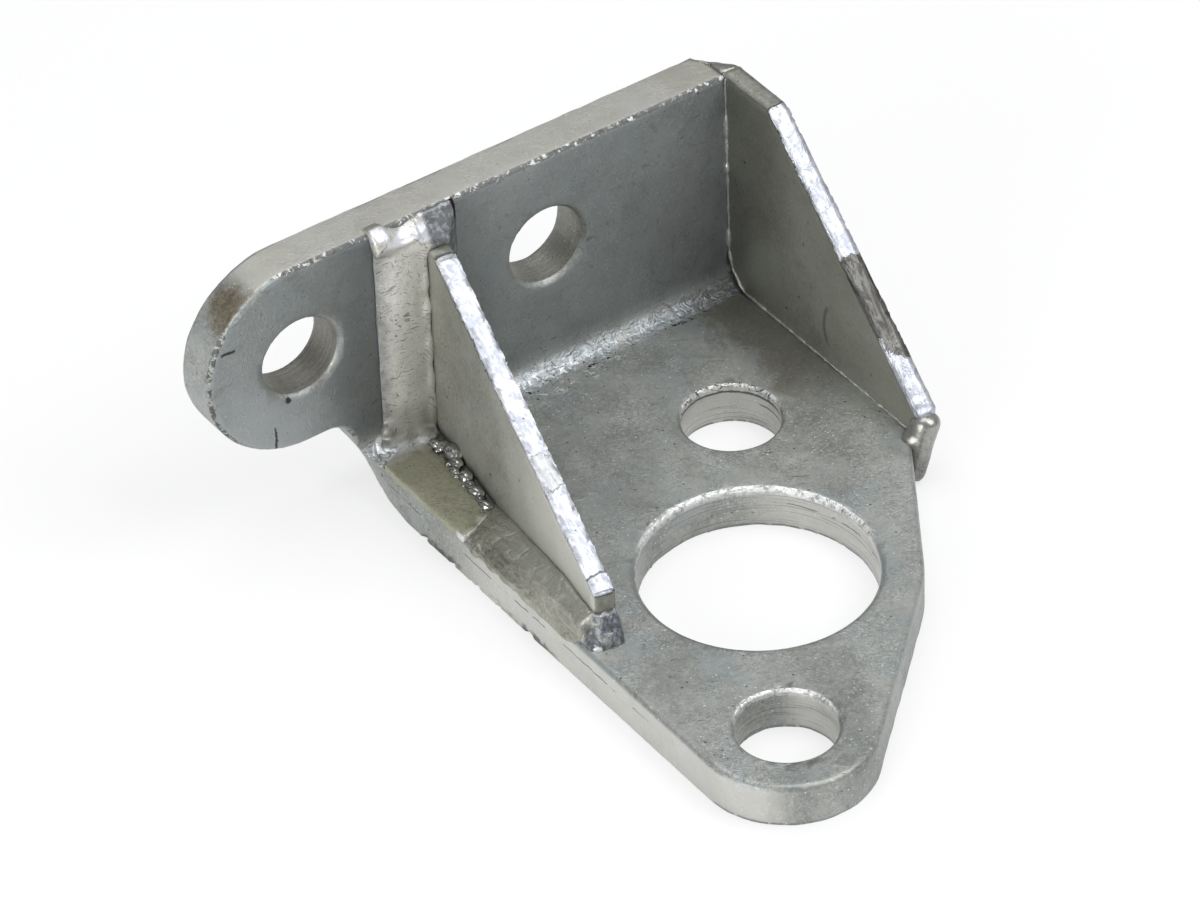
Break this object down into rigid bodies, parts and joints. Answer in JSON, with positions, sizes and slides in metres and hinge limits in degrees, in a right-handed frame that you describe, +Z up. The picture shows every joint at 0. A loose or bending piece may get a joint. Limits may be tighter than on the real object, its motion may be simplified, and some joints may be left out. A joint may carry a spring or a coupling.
{
  "type": "gusseted corner bracket",
  "caption": "Galvanised angle bracket bent from thick plate, with welded gussets, a large bore between bolt holes in its tapering base, and a drilled wall that ends in a rounded ear.",
  "frame": {"origin": "centre of the large bore, on the underside of the base", "axes": "+Z up, out of the base; +Y towards the upright wall; the rounded ear is on the -X side"},
  "size_m": [0.1382, 0.1546, 0.0663],
  "materials": {
    "zinc_plate": "hot-dip galvanised, weathered, matt grey",
    "zinc_gusset": "hot-dip galvanised, matt grey, bright on the sawn slopes",
    "zinc_weld": "galvanised weld bead, smooth, paler than the plate"
  },
  "bodies": {
    "root": {"bent_plate": "zinc_plate", "long_gusset": "zinc_gusset", "short_gusset": "zinc_gusset", "long_gusset_wall_weld": "zinc_weld", "long_gusset_base_weld": "zinc_weld", "short_gusset_weld": "zinc_weld"}
  },
  "joints": []
}
